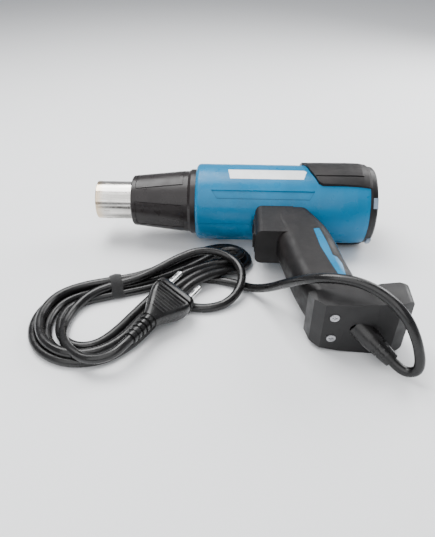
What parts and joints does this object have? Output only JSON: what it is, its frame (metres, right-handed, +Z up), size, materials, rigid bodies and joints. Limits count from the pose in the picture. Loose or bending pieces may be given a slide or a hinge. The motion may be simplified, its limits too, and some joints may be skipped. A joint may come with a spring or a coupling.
{
  "type": "heat gun",
  "caption": "Hand-held electric heat gun with a steel outlet tube, heat guard, soft grip, two-stage rocker and a coiled mains cord with plug.",
  "frame": {"origin": "on the floor below the middle of the gun's bounding box, cord left out, as it lies on its right side", "axes": "+X along the barrel towards its rear, the nozzle at -X; -Y towards the handle's foot; +Z up, the tool's left side"},
  "size_m": [0.279, 0.2185, 0.0737],
  "materials": {
    "housing_plastic": "moulded, fine grain",
    "grip_rubber": "soft matte",
    "black_plastic": "moulded, fine grain",
    "guard_plastic": "moulded, satin",
    "nozzle_steel": "bright, turned",
    "screw_steel": "zinc plated",
    "stripe_white": "printed",
    "mica": "layered",
    "ceramic": "fired",
    "coil_wire": "oxidised",
    "brass": "plain",
    "duct_plastic": "moulded",
    "motor_steel": "plated",
    "magnet": "sintered",
    "carbon": "pressed",
    "copper": "plain",
    "board": "laminate",
    "filter_mesh": "fine mesh",
    "cord_rubber": "semi-gloss",
    "wire_brown": "insulation",
    "wire_blue": "insulation",
    "plug_steel": "nickel plated",
    "tie_cloth": "woven",
    "latch_plastic": "moulded"
  },
  "bodies": {
    "gun": {"left_housing": "housing_plastic", "right_housing": "housing_plastic", "left_grip": "grip_rubber", "right_grip": "grip_rubber", "left_back_strap": "grip_rubber", "right_back_strap": "grip_rubber", "left_stripe": "stripe_white", "right_stripe": "stripe_white", "handle_foot": "black_plastic", "foot_screws": "screw_steel", "housing_screws": "screw_steel", "rear_bumper": "grip_rubber", "rear_rim": "black_plastic", "rim_screws": "screw_steel", "rear_latch": "latch_plastic", "intake_grille": "black_plastic", "intake_filter": "filter_mesh", "nozzle_tube": "nozzle_steel", "heat_guard": "guard_plastic", "nozzle_flange": "ceramic", "mica_sleeve": "mica", "heater_core": "ceramic", "heating_coils": "coil_wire", "heater_end_plate": "mica", "heater_terminals": "brass", "thermal_cutout": "screw_steel", "air_duct": "duct_plastic", "motor_mount": "cord_rubber", "motor_can": "motor_steel", "motor_end_bell": "duct_plastic", "motor_bearings": "brass", "motor_magnets": "magnet", "motor_brushes": "carbon", "diode_board": "board", "diodes": "black_plastic", "capacitor": "latch_plastic", "switch_frame": "black_plastic", "rocker_pin": "screw_steel", "switch_body": "duct_plastic", "switch_terminals": "brass", "cord_clamp": "duct_plastic", "clamp_screws": "screw_steel", "live_wire": "wire_brown", "neutral_wire": "wire_blue", "strain_relief": "cord_rubber", "power_cord": "cord_rubber", "cord_loop": "cord_rubber", "cord_tail": "cord_rubber", "cord_hank": "cord_rubber", "cord_tie": "tie_cloth", "plug_body": "cord_rubber", "plug_pins": "plug_steel", "plug_relief": "cord_rubber"},
    "fan_rotor": {"motor_shaft": "motor_steel", "rotor": "motor_steel", "commutator": "copper", "fan_impeller": "duct_plastic"},
    "rocker": {"switch_rocker": "black_plastic"},
    "contact": {"switch_contact": "brass"}
  },
  "joints": [
    {"name": "fan_spin", "type": "hinge", "parent": "gun", "child": "fan_rotor", "pos_m": [0.06315, 0.05982, 0.03686], "axis": [1, 0, 0], "continuous": true},
    {"name": "rocker_tip", "type": "hinge", "parent": "gun", "child": "rocker", "pos_m": [0.02815, 0.01298, 0.03293], "axis": [0, -0.0837, 0.9965], "range_deg": [-12, 12]},
    {"name": "contact_tip", "type": "hinge", "parent": "gun", "child": "contact", "pos_m": [0.04415, 0.01298, 0.03293], "axis": [0, -0.0837, 0.9965], "range_deg": [-8, 8]}
  ],
  "couplings": [
    {"joint": "contact_tip", "follows": "rocker_tip", "ratio": -0.6}
  ]
}
